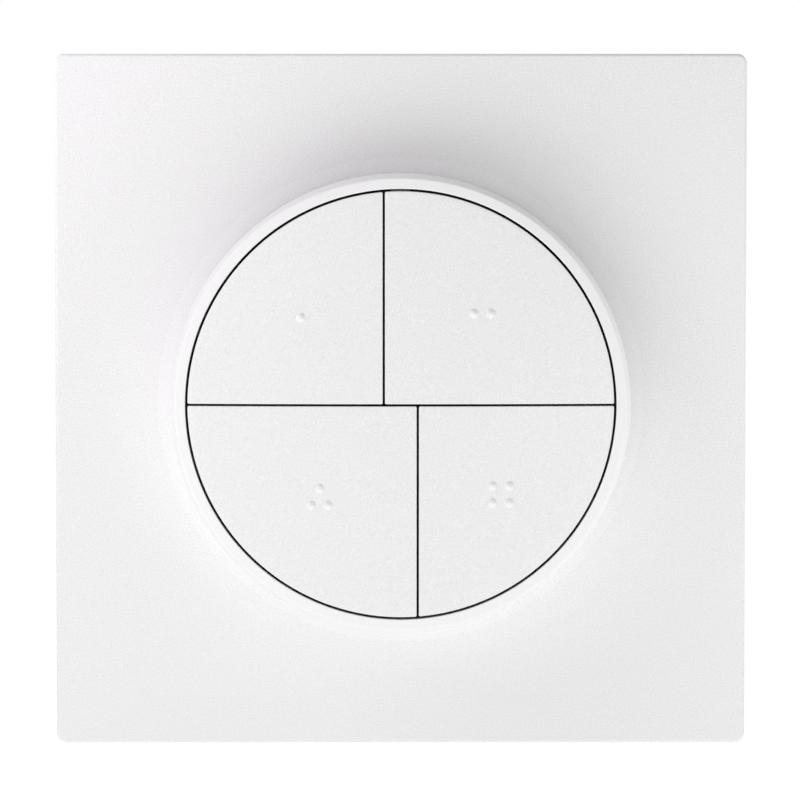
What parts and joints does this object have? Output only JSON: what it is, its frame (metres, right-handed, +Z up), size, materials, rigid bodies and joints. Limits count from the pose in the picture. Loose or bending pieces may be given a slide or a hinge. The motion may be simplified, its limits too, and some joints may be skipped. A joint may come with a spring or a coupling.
{
  "type": "wireless wall switch",
  "caption": "Square white wall plate with a round, domed, magnetically held puck that is split into unequal push buttons marked by raised tactile dots.",
  "frame": {"origin": "centre of the adhesive sheet's wall side face, on the wall plane", "axes": "+Z up as mounted, the buttons face -Y, +Y goes into the wall, +X is to the viewer's right"},
  "size_m": [0.086, 0.0181, 0.086],
  "materials": {
    "matte_white": "matte",
    "smooth_white": "satin",
    "cap_white": "matte",
    "rear_white": "satin",
    "back_grey": "matte",
    "foam": "matte",
    "black_plastic": "matte",
    "plunger": "satin",
    "steel": "satin",
    "screw_steel": "satin",
    "nickel": "polished",
    "cell_can": "satin",
    "contact_metal": "satin",
    "board_green": "satin",
    "component": "matte",
    "led_lens": "gloss"
  },
  "bodies": {
    "base": {"cover_frame": "matte_white", "dock": "smooth_white", "back_plate": "back_grey", "steel_disc": "steel", "frame_screws": "screw_steel", "adhesive_sheet": "foam"},
    "puck": {"front_shell": "smooth_white", "key_frame": "black_plastic", "rear_cover": "rear_white", "magnets": "nickel", "puck_screws": "screw_steel", "coin_cell": "cell_can", "positive_contact": "contact_metal", "negative_contact": "contact_metal", "circuit_board": "board_green", "switch_covers": "steel", "radio_board": "board_green", "radio_shield": "steel", "smd_parts": "component", "status_led": "led_lens", "switch_body_1": "black_plastic", "switch_body_2": "black_plastic", "switch_body_3": "black_plastic", "switch_body_4": "black_plastic"},
    "door": {"battery_door": "rear_white"},
    "button_1": {"button_cap_1": "cap_white"},
    "plunger_1": {"switch_plunger_1": "plunger"},
    "button_2": {"button_cap_2": "cap_white"},
    "plunger_2": {"switch_plunger_2": "plunger"},
    "button_3": {"button_cap_3": "cap_white"},
    "plunger_3": {"switch_plunger_3": "plunger"},
    "button_4": {"button_cap_4": "cap_white"},
    "plunger_4": {"switch_plunger_4": "plunger"}
  },
  "joints": [
    {"name": "puck_pull", "type": "slide", "parent": "base", "child": "puck", "axis": [0, -1, 0], "range_m": [0, 0.03]},
    {"name": "door_turn", "type": "hinge", "parent": "puck", "child": "door", "pos_m": [0, -0.006, 0], "axis": [0, 1, 0], "range_deg": [0, 40]},
    {"name": "button_1_press", "type": "slide", "parent": "puck", "child": "button_1", "axis": [0, 1, 0], "range_m": [0, 0.0005], "stiffness_N_per_m": 1500, "springref_m": -0.0002},
    {"name": "plunger_1_press", "type": "slide", "parent": "puck", "child": "plunger_1", "axis": [0, 1, 0], "range_m": [0, 0.0005]},
    {"name": "button_2_press", "type": "slide", "parent": "puck", "child": "button_2", "axis": [0, 1, 0], "range_m": [0, 0.0005], "stiffness_N_per_m": 1500, "springref_m": -0.0002},
    {"name": "plunger_2_press", "type": "slide", "parent": "puck", "child": "plunger_2", "axis": [0, 1, 0], "range_m": [0, 0.0005]},
    {"name": "button_3_press", "type": "slide", "parent": "puck", "child": "button_3", "axis": [0, 1, 0], "range_m": [0, 0.0005], "stiffness_N_per_m": 1500, "springref_m": -0.0002},
    {"name": "plunger_3_press", "type": "slide", "parent": "puck", "child": "plunger_3", "axis": [0, 1, 0], "range_m": [0, 0.0005]},
    {"name": "button_4_press", "type": "slide", "parent": "puck", "child": "button_4", "axis": [0, 1, 0], "range_m": [0, 0.0005], "stiffness_N_per_m": 1500, "springref_m": -0.0002},
    {"name": "plunger_4_press", "type": "slide", "parent": "puck", "child": "plunger_4", "axis": [0, 1, 0], "range_m": [0, 0.0005]}
  ],
  "couplings": [
    {"joint": "plunger_1_press", "follows": "button_1_press", "ratio": 1},
    {"joint": "plunger_2_press", "follows": "button_2_press", "ratio": 1},
    {"joint": "plunger_3_press", "follows": "button_3_press", "ratio": 1},
    {"joint": "plunger_4_press", "follows": "button_4_press", "ratio": 1}
  ]
}
